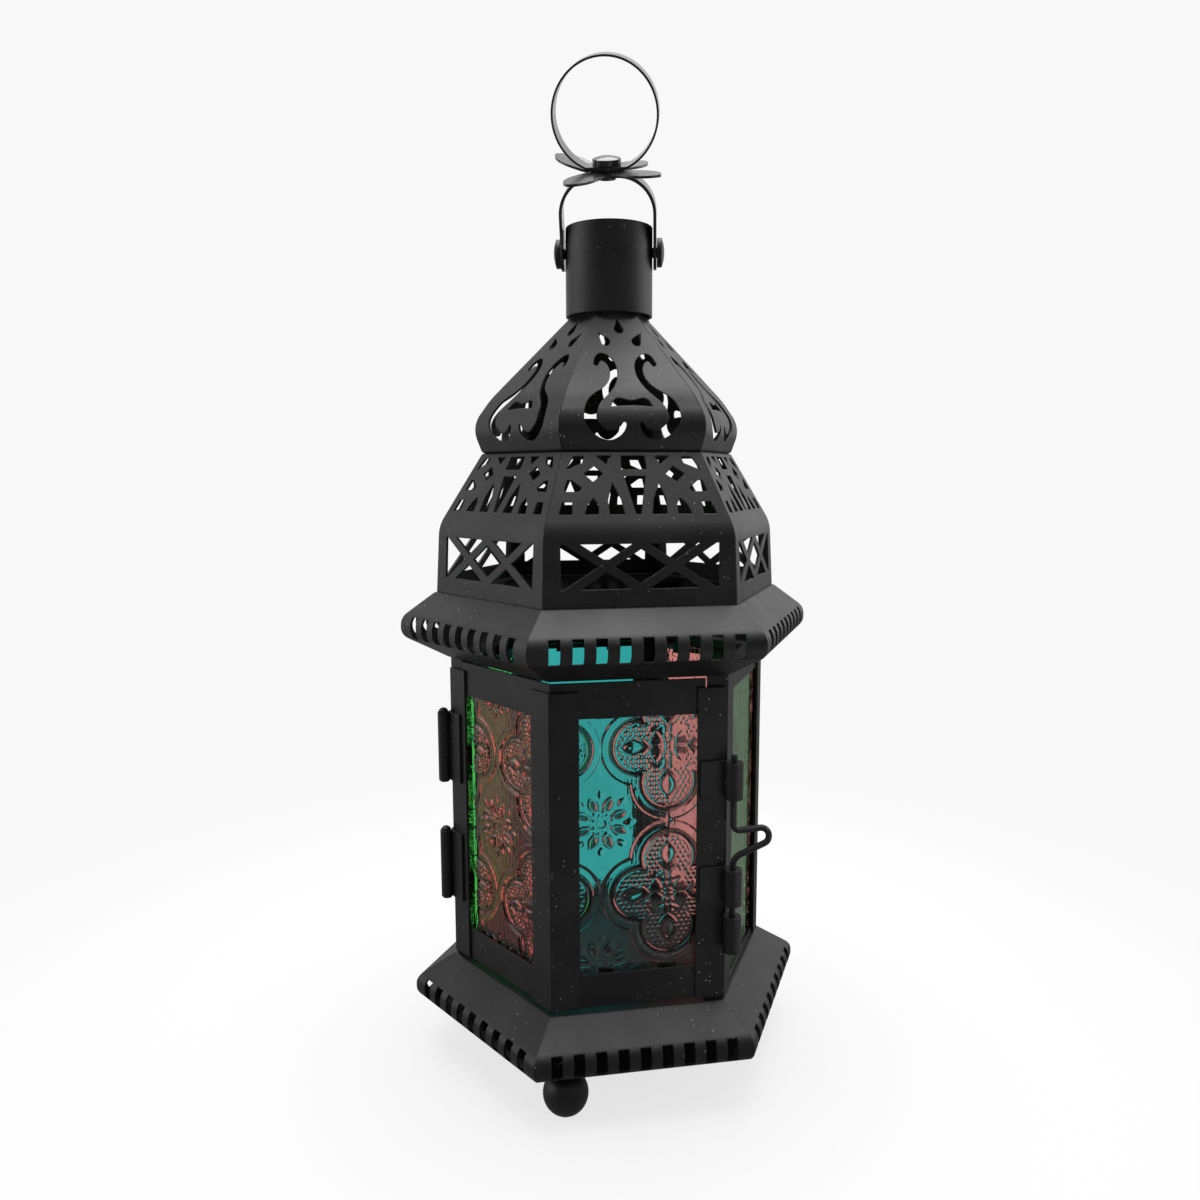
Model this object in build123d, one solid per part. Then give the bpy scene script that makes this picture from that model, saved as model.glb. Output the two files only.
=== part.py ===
from build123d import *
import math
import os

# Six-sided sheet-metal candle lantern with a folded door, pierced roof, bail and hanging ring.
# Millimetres. +Z is up, the feet stand on z = 0 and the Z axis is the middle of the lantern.
# Corners of the hexagon lie at 0, 60, 120 ... degrees from +X. Hexagon sizes are corner radii.

# Stock
SHEET = 0.7
STRIP = 0.7
SEAM = 0.1
SLIP = 0.05
LAID = 0.15

# Ball feet
FOOT_R = 6.5
FOOT_INSET = 6.1
FOOT_FLAT = 0.15
FOOT_SEAT = 0.45
FOOT_ANGLES = {"foot_right": 4.0, "foot_back_left": 124.0, "foot_front_left": 244.0}
SCREW_R = 1.5
SCREW_HEAD_R = 2.8
SCREW_HEAD = 1.4
SCREW_DEPTH = 5.5
SCREW_TIP_R = 1.0
SCREW_TIP = 1.5

# Base skirt and floor
BASE_LIP = 12.0
BASE_LIP_SET = 8.4
BASE_LOWER_RISE = 4.75
BASE_RIM_R = 62.4
BASE_RIM_H = 5.2
BASE_UPPER_RISE = 7.2
BASE_TOP_SET = 0.3
BASE_FLANGE = 6.3
FLOOR_LAP = 3.6
FLOOR_T = 0.8
BEND = 1.2

# Both rims: each bend's share of the rim's height, and the row of slots on every side
RIM_ROUND = 0.41
SLOT_COUNT = 9
BASE_SLOT_END = 6.4
EAVE_SLOT_END = 7.3
SLOT_W = 3.1
SLOT_H = 6.7
SLOT_DEPTH = 6.0

# Glazed body and its frame
BODY_R = 50.0
FRAME_H = 95.3
STILE_W = 8.3
SLIM_WING = 5.0
BAND_LAP = 2.3
JAMB_GAP = 0.4
JAMB_W = 5.4

# Door
DOOR_GAP = 1.3
DOOR_H = 90.8
DOOR_EDGE = 0.4
LOWER_RAIL = 9.6
UPPER_RAIL = 7.5
BAND_RISE = 2.5

# Glass and its clips
PANE_SIDE_LAP = 1.3
UNEVEN_LAPS = {"left": (-2.2, 4.8), "right": (4.3, -1.7), "back_right": (6.3, 1.3)}
PANE_T = 2.2
PANE_LAP = 2.0
CLIP_W = 5.0
CLIP_T = 0.5
CLIP_FINGER = 3.0
CLIP_FOOT = 3.2
CLIP_SPREAD = 9.0
CLIP_SLACK = 0.3
CLIP_HEADROOM = 0.4
SILL_LIP = 1.5
SILL_TAB_FOOT = 1.5
SILL_TAB_H = 3.3

# Hinges, heights above the door's lower edge
KNUCKLE_R = 1.8
HINGE_PIN_R = 0.9
HINGE_PIN_HEAD_R = 1.4
HINGE_PIN_HEAD = 0.5
HINGE_H = 21.5
HINGE_LEAF_W = 5.4
HINGE_LEAF_T = 0.8
LEAF_EDGE = 0.8
KNUCKLE_GAP = 0.2
HINGE_LEVELS = {"upper": 55.5, "lower": 17.8}

# Wire latch, heights above the door's lower edge
LATCH_R = 2.6
WIRE_R = 0.9
LATCH_LEAF_W = 6.8
LATCH_LEAF_T = 0.8
GUIDE_UPPER_Z = 59.5
GUIDE_LOWER_Z = 28.6
KEEPER_Z = 14.7
GUIDE_H = 10.5
BOLT_STUB = 2.0
BOLT_REACH = 4.2
LOOP_OUT = 9.9
LOOP_HEAD_ROOM = 9.4
LOOP_FOOT_ROOM = 3.2
LOOP_LEG_RISE = 1.4
LOOP_DEPTH = 2.8
LOOP_BEND = 1.7
LOOP_TIP_BEND = 2.2
LOOP_FOOT_BEND = 4.0
LOOP_AZIMUTH = -12.0

# Eave skirt
EAVE_FLANGE = 5.9
EAVE_FOOT_SET = 0.1
EAVE_LOWER_RISE = 7.2
EAVE_RIM_R = 64.2
EAVE_RIM_H = 5.4
EAVE_UPPER_RISE = 7.5
EAVE_TOP_SET = 10.4
EAVE_TOP_FLANGE = 6.3

# Roof wall: upright drum and sloping tier
DRUM_SET = 0.6
DRUM_H = 20.1
DRUM_TAPER = 1.1
FOLD_BEND = 12.0
TIER_H = 21.4
TIER_IN = 13.3
TIER_FLANGE = 4.3
LATTICE_EDGE = 4.9
LATTICE_CROSSING = 0.43
LATTICE_LOW = 4.9
LATTICE_H = 12.0
LATTICE_STRAP = 2.4

# Dome, from its seat on the tier up to the chimney collar
DOME_BULGE = 3.0
DOME_BULGE_Z = 8.0
DOME_BULGE_BEND = 9.0
DOME_SHOULDER = 2.8
DOME_SHOULDER_Z = 16.0
DOME_SHOULDER_ROUND = 2.28
DOME_TOP_Z = 40.0
COLLAR_BEND = 3.0
COLLAR_H = 5.5
COLLAR_FIT = 0.2

# Chimney and bail
CHIMNEY_R = 13.0
CHIMNEY_H = 25.7
CHIMNEY_LIFT = 0.6
BAIL_DROP = 7.0
BAIL_AZIMUTH = -14.0
BAIL_LEAN = 26.0
BAIL_W = 7.0
BAIL_T = 0.9
BAIL_RISE = 22.6
BAIL_BEND = 11.0
BAIL_GAP = 0.3
EAR_R = 5.0
BAIL_RIVET_R = 1.5
BAIL_RIVET_HEAD_R = 4.2
BAIL_RIVET_HEAD = 2.2
RIVET_TAIL_R = 2.6
RIVET_TAIL = 0.9
RIVET_EDGE = 0.8

# Rosette, hanging ring and the rivet through them
PETAL_L = 18.6
PETAL_W = 8.6
PETAL_ROOT_W = 4.4
PETAL_RISES = (0.4, -0.2, 3.4, -0.8)
ROSETTE_T = 0.7
ROSETTE_HUB_R = 6.0
ROSETTE_BEND = 12.0
ROSETTE_TURN = -34.0
RING_R = 15.0
RING_T = 0.6
RING_W = 7.0
RING_FLAT = 0.6
RING_TURN = -1.5
TOP_RIVET_R = 1.5
TOP_RIVET_HEAD_R = 4.1
TOP_RIVET_HEAD = 2.4

# Tier windows: t is a share of the half width, q a share of the height. Those in PAIRS are mirrored.
TIER_SINGLES = (
    ((-0.17, 0.77), (0.17, 0.77), (0.17, 0.94), (-0.17, 0.94)),
    ((-0.14, 0.68), (0.14, 0.68), (0.03, 0.21), (-0.03, 0.21)),
)
TIER_PAIRS = (
    ((0.30, 0.94), (0.52, 0.94), (0.37, 0.83)),
    ((0.68, 0.93), (0.83, 0.93), (0.89, 0.76), (0.69, 0.85)),
    ((0.405, 0.71), (0.53, 0.81), (0.655, 0.71), (0.53, 0.61)),
    ((0.66, 0.535), (0.80, 0.63), (0.86, 0.63), (0.87, 0.49), (0.68, 0.49)),
    ((0.15, 0.21), (0.32, 0.21), (0.345, 0.38), (0.295, 0.60), (0.19, 0.40)),
    ((0.44, 0.21), (0.60, 0.21), (0.575, 0.33), (0.51, 0.41), (0.45, 0.33)),
    ((0.73, 0.21), (0.88, 0.21), (0.87, 0.36), (0.75, 0.36)),
)

# Dome windows: middle line of the scroll as (t, q, width), then a drop above it and a two-lobed slot
SCROLL = (
    (0.60, 0.612, 1.5),
    (0.475, 0.660, 2.3),
    (0.31, 0.620, 2.4),
    (0.24, 0.545, 2.2),
    (0.28, 0.470, 2.0),
    (0.405, 0.398, 2.3),
    (0.53, 0.348, 3.0),
    (0.595, 0.275, 3.5),
    (0.58, 0.205, 3.4),
    (0.48, 0.140, 3.0),
    (0.32, 0.106, 2.5),
    (0.19, 0.130, 2.0),
    (0.12, 0.180, 1.2),
)
TOP_DROP_Q = 0.905
SIDE_DROP_T = 0.50
SIDE_DROP_Q = 0.803
SIDE_DROP_LEAN = 32.0
DROP_L = 4.6
DROP_W = 2.8
LOBE_T = 0.31
LOBE_Q = 0.330
LOBE_H = 2.4
LOBE_DIP = 0.7

# Levels and plan sizes that follow
C30 = math.cos(math.radians(30))
T30 = math.tan(math.radians(30))
FACE_ANGLES = {"front": 0, "right": 60, "back_right": 120, "back": 180, "back_left": 240, "left": 300}
FIXED_FACES = ("right", "back_right", "back", "back_left")
DOOR_FACES = ("left", "front")
HINGE_CORNER = 180
FOLD_CORNER = 240
LATCH_CORNER = 300
FACE_A = BODY_R * C30
HALF = BODY_R / 2
BASE_LIP_R = BASE_RIM_R - BASE_LIP_SET
BASE_TOP_R = BODY_R + BASE_TOP_SET
BASE_FLANGE_IN = BASE_TOP_R - BASE_FLANGE
FOOT_CIRCLE = BASE_LIP_R - FOOT_INSET
EAVE_FOOT_R = BODY_R - EAVE_FOOT_SET
EAVE_TOP_R = EAVE_RIM_R - EAVE_TOP_SET
DRUM_R = EAVE_TOP_R - DRUM_SET
FOLD_R = DRUM_R - DRUM_TAPER
TIER_TOP_R = FOLD_R - TIER_IN
DOME_BULGE_R = TIER_TOP_R + DOME_BULGE
DOME_SHOULDER_R = TIER_TOP_R - DOME_SHOULDER
LATTICE_HALF = DRUM_R / 2 - LATTICE_EDGE
LATTICE_CROSS = LATTICE_HALF * LATTICE_CROSSING
Z_BASE = 2 * FOOT_R - FOOT_FLAT - FOOT_SEAT
Z_SILL = Z_BASE + BASE_LOWER_RISE + BASE_RIM_H + BASE_UPPER_RISE
Z_DOOR = Z_SILL + DOOR_GAP
Z_DOOR_TOP = Z_DOOR + DOOR_H
Z_VIEW = Z_DOOR + LOWER_RAIL
Z_VIEW_TOP = Z_DOOR_TOP - UPPER_RAIL
Z_EAVE = Z_SILL + FRAME_H
Z_FIXED_TOP = Z_EAVE - CLIP_HEADROOM - CLIP_FOOT - CLIP_SLACK - PANE_LAP
Z_DRUM = Z_EAVE + EAVE_LOWER_RISE + EAVE_RIM_H + EAVE_UPPER_RISE
Z_FOLD = Z_DRUM + DRUM_H
Z_DOME = Z_FOLD + TIER_H
Z_CHIMNEY = Z_DOME + DOME_TOP_Z + CHIMNEY_LIFT
Z_RIVET = Z_CHIMNEY + CHIMNEY_H - BAIL_DROP
COLLAR_R = CHIMNEY_R - SHEET - COLLAR_FIT
PANE_DEPTH = 2 * STRIP
HINGE_RADIUS = (FACE_A + KNUCKLE_R) / C30
LATCH_RADIUS = (FACE_A + LATCH_R) / C30
REACH = 2 * EAVE_RIM_R
SECTION = Plane((0, 0, 0), x_dir=(0, -1, 0), z_dir=(-1, 0, 0))


def turned(shape, degrees):
    """The shape turned about the lantern's axis."""
    return Rotation(0, 0, degrees) * shape


def offset_chain(points, distance):
    """The chain moved sideways to its left, with mitred corners."""
    moved = []
    last = len(points) - 1
    for i, (x, y) in enumerate(points):
        before = points[max(i - 1, 0)]
        after = points[min(i + 1, last)]
        way_in = Vector(x - before[0], y - before[1]) if i else Vector(after[0] - x, after[1] - y)
        way_out = Vector(after[0] - x, after[1] - y) if i < last else way_in
        side_in = way_in.normalized().rotate(Axis.Z, 90)
        side_out = way_out.normalized().rotate(Axis.Z, 90)
        mitre = (side_in + side_out).normalized()
        reach = distance / mitre.dot(side_in)
        moved.append((x + mitre.X * reach, y + mitre.Y * reach))
    return moved


def bent_strip(points, bends, thickness):
    """Section of a bent strip: the chain of points and the strip's thickness to the left of it."""
    inner = offset_chain(points, thickness)
    inner_bends = []
    for i, radius in enumerate(bends):
        way_in = Vector(points[i + 1][0] - points[i][0], points[i + 1][1] - points[i][1])
        way_out = Vector(points[i + 2][0] - points[i + 1][0], points[i + 2][1] - points[i + 1][1])
        left_turn = way_in.cross(way_out).Z > 0
        inner_bends.append(radius - thickness if left_turn else radius + thickness)
    near = FilletPolyline(*points, radius=bends)
    far = FilletPolyline(*inner, radius=inner_bends)
    ends = [Line(points[0], inner[0]), Line(points[-1], inner[-1])]
    return make_face([*near.edges(), *far.edges(), ends[0].edge(), ends[1].edge()])


def sector(seam, floor):
    """Wedge over the front face above the floor level, its two sides drawn back by half a seam."""
    tip = (0, -seam)
    left = (-REACH * T30, -seam - REACH)
    right = (REACH * T30, -seam - REACH)
    return Pos(0, 0, floor) * extrude(polygon([tip, left, right]), amount=Z_CHIMNEY)


def face_panel(chain, bends, seam):
    """One flat-sided panel of the front face, from a chain of (corner radius, z) points."""
    points = [(r * C30, z) for r, z in chain]
    section = SECTION * bent_strip(points, bends, SHEET)
    return extrude(section, amount=REACH, both=True) & sector(seam, min(z for r, z in chain))


def punch(outlines):
    """Prisms that cut the outlines, given as (s, z) faces, through the front face's sheet."""
    return [extrude(Plane.XZ * outline, amount=REACH) for outline in outlines]


def polygon(points):
    return make_face(Polyline(*points, close=True))


def mirrored(points):
    return [(-x, y) for x, y in points]


def plate(s_range, depth_range, z_range):
    """Upright plate on the front face: across the face, inward from its plane, and in height."""
    s0, s1 = s_range
    y0, y1 = (-(FACE_A - d) for d in depth_range)
    z0, z1 = z_range
    return Pos((s0 + s1) / 2, (y0 + y1) / 2, (z0 + z1) / 2) * Box(s1 - s0, abs(y1 - y0), z1 - z0)


def stud(head_r, head, shank_r, shank, tail_r, tail):
    """Domed rivet, pin or screw along +Z: the head sits on z = 0 and the shank runs below it."""
    ball_r = (head_r**2 + RIVET_EDGE**2) / (2 * RIVET_EDGE)
    half_angle = math.asin(head_r / ball_r) / 2
    shoulder = (ball_r * math.sin(half_angle), head - ball_r * (1 - math.cos(half_angle)))
    dome = ThreePointArc((head_r, head - RIVET_EDGE), shoulder, (0, head))
    side = Polyline(
        (0, head),
        (0, -shank - tail),
        (tail_r, -shank - tail),
        (tail_r, -shank),
        (shank_r, -shank),
        (shank_r, 0),
        (head_r, 0),
        (head_r, head - RIVET_EDGE),
    )
    return revolve(Plane.XZ * make_face([dome.edge(), *side.edges()]), Axis.Z)


def bend_radius(before, corner, after, reach):
    """Radius of the bend that begins at the given reach before a corner of a (corner radius, z) chain."""
    way_in = Vector((corner[0] - before[0]) * C30, corner[1] - before[1])
    way_out = Vector((after[0] - corner[0]) * C30, after[1] - corner[1])
    return reach / math.tan(math.radians(way_in.get_angle(way_out)) / 2)


def slotted_skirt(chain, slot_end):
    """Closed hexagonal skirt: flange, slope, slotted rim, slope, flange."""
    rim_r, rim_low = chain[2]
    rim_h = chain[3][1] - rim_low
    reach = RIM_ROUND * rim_h
    bends = [BEND, bend_radius(*chain[1:4], reach), bend_radius(*chain[2:5], reach), BEND]
    side = face_panel(chain, bends, 0)
    first = slot_end - rim_r / 2
    pitch = (rim_r - 2 * slot_end) / (SLOT_COUNT - 1)
    for i in range(SLOT_COUNT):
        slot = Box(SLOT_W, 2 * SLOT_DEPTH, SLOT_H)
        side -= Pos(first + i * pitch, -rim_r * C30, rim_low + rim_h / 2) * slot
    skirt = side
    for angle in list(FACE_ANGLES.values())[1:]:
        skirt += turned(side, angle)
    return skirt


def base_skirt():
    rim_low = Z_BASE + BASE_LOWER_RISE
    rim_high = rim_low + BASE_RIM_H
    chain = [
        (BASE_LIP_R - BASE_LIP, Z_BASE),
        (BASE_LIP_R, Z_BASE),
        (BASE_RIM_R, rim_low),
        (BASE_RIM_R, rim_high),
        (BASE_TOP_R, Z_SILL),
        (BASE_FLANGE_IN, Z_SILL),
    ]
    skirt = slotted_skirt(chain, BASE_SLOT_END)
    for angle in FOOT_ANGLES.values():
        hole = Pos(FOOT_CIRCLE, 0, Z_BASE) * Cylinder(SCREW_R + SLIP, 4 * SHEET)
        skirt -= turned(hole, angle)
    return skirt


def eave_skirt():
    rim_low = Z_EAVE + EAVE_LOWER_RISE
    rim_high = rim_low + EAVE_RIM_H
    chain = [
        (EAVE_FOOT_R - EAVE_FLANGE, Z_EAVE),
        (EAVE_FOOT_R, Z_EAVE),
        (EAVE_RIM_R, rim_low),
        (EAVE_RIM_R, rim_high),
        (EAVE_TOP_R, Z_DRUM),
        (EAVE_TOP_R - EAVE_TOP_FLANGE, Z_DRUM),
    ]
    return slotted_skirt(chain, EAVE_SLOT_END)


def floor_plate():
    top = Z_SILL - SHEET
    outline = RegularPolygon(BASE_FLANGE_IN + FLOOR_LAP, 6)
    return Pos(0, 0, top - FLOOR_T) * extrude(outline, amount=FLOOR_T)


def ball_foot(angle):
    centre_z = FOOT_R - FOOT_FLAT
    ball = Pos(0, 0, centre_z) * Sphere(FOOT_R)
    ball &= Pos(0, 0, Z_BASE / 2) * Box(2 * FOOT_R, 2 * FOOT_R, Z_BASE)
    depth = SCREW_DEPTH + SLIP
    ball -= Pos(0, 0, Z_BASE - depth / 2) * Cylinder(SCREW_R + SLIP / 2, depth)
    return turned(Pos(FOOT_CIRCLE, 0, 0) * ball, angle)


def foot_screws():
    shank = SHEET + SCREW_DEPTH - SCREW_TIP
    screw = stud(SCREW_HEAD_R, SCREW_HEAD, SCREW_R, shank, SCREW_TIP_R, SCREW_TIP)
    placed = Pos(FOOT_CIRCLE, 0, Z_BASE + SHEET) * screw
    return [turned(placed, angle) for angle in FOOT_ANGLES.values()]


def face_corner(angle_one, angle_two, apothem_one, apothem_two):
    """Plan point at the given distances from the axis along two face normals."""
    n1 = Vector(1, 0, 0).rotate(Axis.Z, angle_one)
    n2 = Vector(1, 0, 0).rotate(Axis.Z, angle_two)
    det = n1.X * n2.Y - n1.Y * n2.X
    x = (apothem_one * n2.Y - apothem_two * n1.Y) / det
    y = (n1.X * apothem_two - n2.X * apothem_one) / det
    return Vector(x, y, 0)


def face_point(angle, s, apothem):
    return Vector(apothem, s, 0).rotate(Axis.Z, angle)


def folded_post(corner, wings, depths, z_range):
    """Strip folded along the corner at the given angle: a wing and a set-back on each of its two faces."""
    one, two = corner - 30, corner + 30
    a1, a2 = (FACE_A - d for d in depths)
    outline = [
        face_point(one, HALF - wings[0], a1),
        face_corner(one, two, a1, a2),
        face_point(two, wings[1] - HALF, a2),
        face_point(two, wings[1] - HALF, a2 - STRIP),
        face_corner(one, two, a1 - STRIP, a2 - STRIP),
        face_point(one, HALF - wings[0], a1 - STRIP),
    ]
    z0, z1 = z_range
    return Pos(0, 0, z0) * extrude(polygon(outline), amount=z1 - z0)


def folded_band(faces, z_range):
    """Band behind the posts, folded round consecutive faces given by their normals' angles."""
    end = HALF - STILE_W + BAND_LAP
    chain = []
    for apothem in (FACE_A - STRIP, FACE_A - 2 * STRIP):
        row = [face_point(faces[0], -end, apothem)]
        for one, two in zip(faces, faces[1:]):
            row.append(face_corner(one, two, apothem, apothem))
        row.append(face_point(faces[-1], end, apothem))
        chain.append(row)
    z0, z1 = z_range
    return Pos(0, 0, z0) * extrude(polygon(chain[0] + chain[1][::-1]), amount=z1 - z0)


def fixed_posts():
    full = (Z_SILL, Z_EAVE)
    plain = (0.0, 0.0)
    wings = (STILE_W, STILE_W)
    jamb = STRIP + JAMB_GAP
    return {
        "post_right": folded_post(0, (SLIM_WING, STILE_W), plain, full),
        "post_back_right": folded_post(60, wings, plain, full),
        "post_back_left": folded_post(120, wings, plain, full),
        "post_hinge_side": folded_post(HINGE_CORNER, (STILE_W, JAMB_W), (0.0, jamb), full),
        "post_latch_side": folded_post(LATCH_CORNER, (JAMB_W, STILE_W), (jamb, 0.0), full),
    }


def door_stiles():
    span = (Z_DOOR, Z_DOOR_TOP)
    strip = plate((HALF - STILE_W, HALF - DOOR_EDGE), (0, STRIP), span)
    return {
        "door_hinge_stile": turned(mirror(strip, Plane.YZ), FACE_ANGLES["left"]),
        "door_corner_post": folded_post(FOLD_CORNER, (STILE_W, STILE_W), (0.0, 0.0), span),
        "door_latch_stile": turned(strip, FACE_ANGLES["front"]),
    }


def pane(face):
    """Glass plate: a fixed one stands on the base flange and goes up to the eave, a door's laps both bands."""
    near_lap, far_lap = UNEVEN_LAPS.get(face, (PANE_SIDE_LAP, PANE_SIDE_LAP))
    opening = HALF - STILE_W
    across = (-opening - near_lap, opening + far_lap)
    if face in FIXED_FACES:
        span = (Z_SILL, Z_FIXED_TOP + PANE_LAP)
    else:
        span = (Z_VIEW - PANE_LAP, Z_VIEW_TOP + PANE_LAP)
    return turned(plate(across, (PANE_DEPTH, PANE_DEPTH + PANE_T), span), FACE_ANGLES[face])


def band_tab(level, way):
    """Section of a Z-shaped tab: foot on the band, riser past the pane's edge, finger behind the glass."""
    back = FACE_A - PANE_DEPTH
    edge = PANE_LAP + CLIP_SLACK
    chain = [
        (back, edge + CLIP_FOOT),
        (back, edge),
        (back - PANE_T, edge),
        (back - PANE_T, edge - CLIP_FINGER),
    ]
    points = chain + offset_chain(chain, -CLIP_T)[::-1]
    return polygon([(a, level + way * z) for a, z in points])


def sill_tab():
    """Section of an angle tab: foot on the base flange, finger up behind the glass."""
    back = FACE_A - PANE_DEPTH - PANE_T
    chain = [(back - SILL_TAB_FOOT, Z_SILL), (back, Z_SILL), (back, Z_SILL + SILL_TAB_H)]
    return polygon(chain + offset_chain(chain, CLIP_T)[::-1])


def glass_clips(faces, sections):
    """Two tabs of every section behind each pane."""
    clips = []
    for face in faces:
        for s in (-CLIP_SPREAD, CLIP_SPREAD):
            for section in sections:
                tab = extrude(SECTION * section, amount=CLIP_W / 2, both=True)
                clips.append(turned(Pos(s, 0, 0) * tab, FACE_ANGLES[face]))
    return clips


def rolled_leaf(side, barrel_r, bore_r, leaf_w, leaf_t, leaf_span, barrel_spans):
    """Leaf on the front face with barrels rolled past its left (-1) or right (+1) corner."""
    inner = HALF - LEAF_EDGE - leaf_w
    outer = HALF - LEAF_EDGE
    axis_s = (FACE_A + barrel_r) * T30
    leaf = plate((inner, outer), (-leaf_t, 0), leaf_span)
    for low, high in barrel_spans:
        leaf += plate((outer, axis_s), (-leaf_t, 0), (low, high))
        leaf += Pos(axis_s, -FACE_A - barrel_r, (low + high) / 2) * Cylinder(barrel_r, high - low)
    low, high = leaf_span
    length = 2 * (high - low)
    leaf -= Pos(axis_s, -FACE_A - barrel_r, (low + high) / 2) * Cylinder(bore_r, length)
    return leaf if side > 0 else mirror(leaf, Plane.YZ)


def hinge(level):
    """Frame leaf with the outer knuckles, door leaf with the middle knuckle, and the pin."""
    low = Z_DOOR + level
    high = low + HINGE_H
    knuckle = (HINGE_H - 2 * KNUCKLE_GAP) / 3
    bore = HINGE_PIN_R + SLIP
    sizes = (KNUCKLE_R, bore, HINGE_LEAF_W, HINGE_LEAF_T, (low, high))
    middle = (low + knuckle + KNUCKLE_GAP, high - knuckle - KNUCKLE_GAP)
    outer = [(low, low + knuckle), (high - knuckle, high)]
    door_leaf = turned(rolled_leaf(-1, *sizes, [middle]), FACE_ANGLES["left"])
    frame_leaf = turned(rolled_leaf(1, *sizes, outer), FACE_ANGLES["back_left"])
    head = HINGE_PIN_HEAD + RIVET_EDGE
    pin = stud(HINGE_PIN_HEAD_R, head, HINGE_PIN_R, HINGE_H, HINGE_PIN_HEAD_R, HINGE_PIN_HEAD)
    return door_leaf, frame_leaf, Pos(-HINGE_RADIUS, 0, high) * pin


def latch_leaf(side, level, face):
    low = Z_DOOR + level
    span = (low, low + GUIDE_H)
    leaf = rolled_leaf(side, LATCH_R, WIRE_R + SLIP, LATCH_LEAF_W, LATCH_LEAF_T, span, [span])
    return turned(leaf, FACE_ANGLES[face])


def latch_bolt():
    """Bent wire: stub above the upper guide, finger loop between the guides, end in the keeper."""
    top = Z_DOOR + GUIDE_UPPER_Z + GUIDE_H + BOLT_STUB
    head = Z_DOOR + GUIDE_UPPER_Z - LOOP_HEAD_ROOM
    foot = Z_DOOR + GUIDE_LOWER_Z + GUIDE_H + LOOP_FOOT_ROOM
    end = Z_DOOR + KEEPER_Z + GUIDE_H - BOLT_REACH
    route = [
        (0, top),
        (0, head),
        (LOOP_OUT, head + LOOP_LEG_RISE),
        (LOOP_OUT, head - LOOP_DEPTH),
        (0, foot),
        (0, end),
    ]
    bends = [LOOP_BEND, LOOP_TIP_BEND, LOOP_TIP_BEND, LOOP_FOOT_BEND]
    corner = Vector(LATCH_RADIUS, 0, 0).rotate(Axis.Z, LATCH_CORNER)
    out = Vector(1, 0, 0).rotate(Axis.Z, LOOP_AZIMUTH)
    across = Plane(corner, x_dir=out, z_dir=out.cross(Vector(0, 0, 1)))
    path = across * FilletPolyline(*route, radius=bends)
    return sweep(Plane(path @ 0, z_dir=path % 0) * Circle(WIRE_R), path=path)


def drum_windows():
    """Two crossed straps leave a middle diamond, triangles above and below, and end pieces."""
    low = Z_DRUM + LATTICE_LOW
    high = low + LATTICE_H
    middle = (low + high) / 2
    strap_angle = math.atan2(LATTICE_H / 2, LATTICE_CROSS)
    ds = LATTICE_STRAP / 2 / math.sin(strap_angle)
    dz = LATTICE_STRAP / 2 / math.cos(strap_angle)
    far = 2 * LATTICE_CROSS
    side = LATTICE_CROSS - ds
    peak = side * LATTICE_H / 2 / LATTICE_CROSS
    diamond = [(-side, middle), (0, middle - peak), (side, middle), (0, middle + peak)]
    upper = [(ds, high), (far - ds, high), (LATTICE_CROSS, middle + dz)]
    lower = [(ds, low), (far - ds, low), (LATTICE_CROSS, middle - dz)]
    tip = (LATTICE_CROSS + ds, middle)
    end = [(LATTICE_HALF, low), (far + ds, low), tip, (far + ds, high), (LATTICE_HALF, high)]
    outlines = [diamond]
    for window in (upper, lower, end):
        outlines += [window, mirrored(window)]
    return [polygon(window) for window in outlines]


def tier_windows():
    def spot(t, q):
        half = (FOLD_R + (TIER_TOP_R - FOLD_R) * q) / 2
        return (t * half, Z_FOLD + q * TIER_H)

    outlines = [[spot(t, q) for t, q in window] for window in TIER_SINGLES]
    for window in TIER_PAIRS:
        points = [spot(t, q) for t, q in window]
        outlines += [points, mirrored(points)]
    return [polygon(window) for window in outlines]


def roof_wall():
    chain = [
        (DRUM_R, Z_DRUM),
        (FOLD_R, Z_FOLD),
        (TIER_TOP_R, Z_DOME),
        (TIER_TOP_R - TIER_FLANGE, Z_DOME),
    ]
    panel = face_panel(chain, [FOLD_BEND, BEND], SEAM)
    return panel - punch(drum_windows() + tier_windows())


def dome_spot(t, q):
    """Point on the dome's front face: t across its half width, q up its height."""
    z = q * DOME_TOP_Z
    rows = [
        (0.0, TIER_TOP_R),
        (DOME_BULGE_Z, DOME_BULGE_R - 1.5),
        (DOME_SHOULDER_Z, DOME_SHOULDER_R),
        (DOME_TOP_Z, COLLAR_R),
    ]
    for (z0, r0), (z1, r1) in zip(rows, rows[1:]):
        radius = r0 + (r1 - r0) * (z - z0) / (z1 - z0)
        if z <= z1:
            break
    return (t * radius / 2, Z_DOME + z)


def scroll_window():
    """Outline of the scroll: two smooth edges either side of its middle line."""
    middle = Spline(*[dome_spot(t, q) for t, q, width in SCROLL])
    last = len(SCROLL) - 1
    one, two = [], []
    for i, (t, q, width) in enumerate(SCROLL):
        spot = Vector(*dome_spot(t, q))
        along = middle.tangent_at(middle.param_at_point(spot))
        side = along.rotate(Axis.Z, 90) * (width / 2)
        one.append(spot + side)
        two.append(spot - side)
    ends = []
    for i, way in ((0, -1), (last, 1)):
        spot = Vector(*dome_spot(*SCROLL[i][:2]))
        along = middle.tangent_at(0 if i == 0 else 1)
        ends.append(ThreePointArc(one[i], spot + along * (way * SCROLL[i][2] / 2), two[i]))
    edges = [Spline(*one).edge(), Spline(*two).edge(), ends[0].edge(), ends[1].edge()]
    return make_face(edges)


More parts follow.
